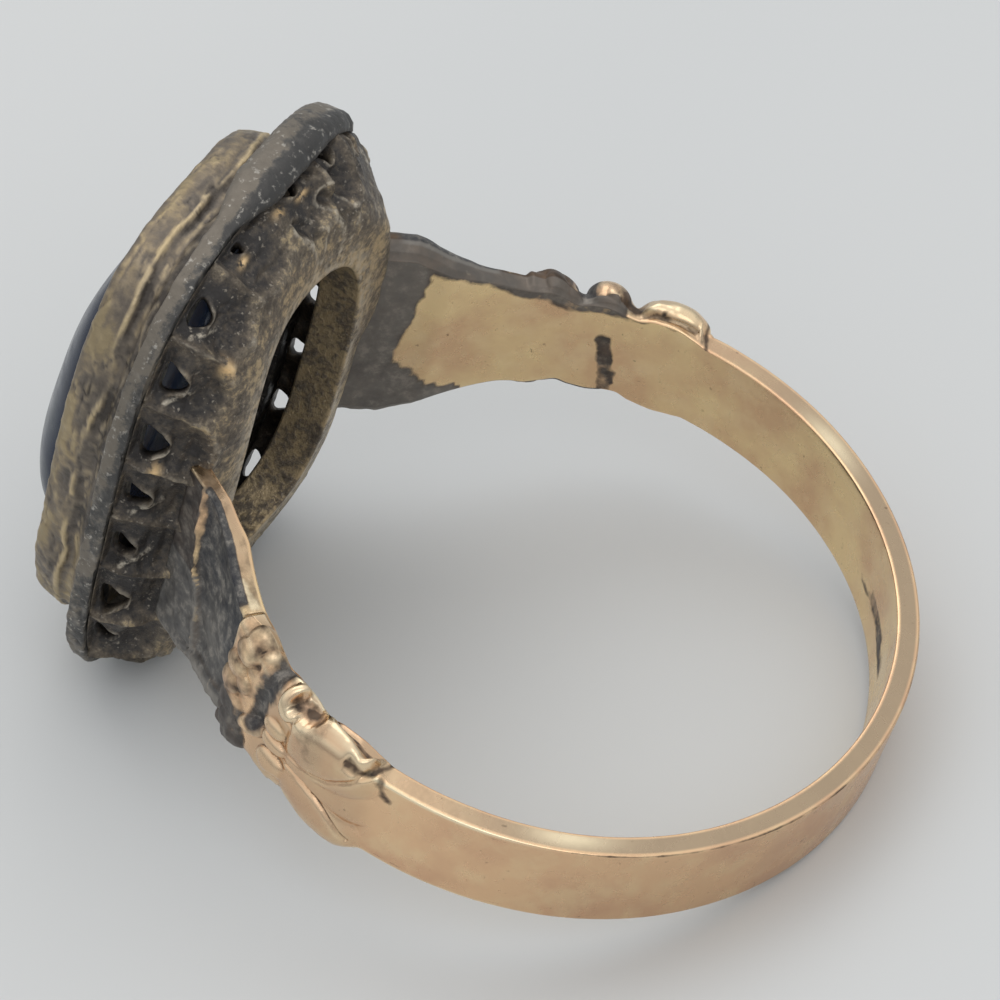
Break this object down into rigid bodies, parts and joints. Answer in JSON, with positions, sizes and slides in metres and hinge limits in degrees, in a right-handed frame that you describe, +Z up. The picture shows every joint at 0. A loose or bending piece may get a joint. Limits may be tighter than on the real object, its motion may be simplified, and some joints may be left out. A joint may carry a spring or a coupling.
{
  "type": "enamel ring",
  "caption": "Finger ring lying on its side: a plain hoop with leafy shoulders, a pierced fluted gallery and a gilt bezel round a dark domed enamel.",
  "frame": {"origin": "middle of the footprint, on the surface that the ring lies on", "axes": "+Z up from the surface, +X from the head to the back of the hoop, Y across both shoulders; the finger's axis leans from +Z towards +X"},
  "size_m": [0.024, 0.0194, 0.0155],
  "materials": {
    "gold": "worn rose gold, polished outside, with grey and brown tarnish in the gallery",
    "gilt": "worn gilt sheet with brown tarnish in its folds",
    "enamel": "glossy opaque dark blue enamel"
  },
  "bodies": {
    "root": {"hoop_and_gallery": "gold", "bezel": "gilt", "enamel": "enamel"}
  },
  "joints": []
}
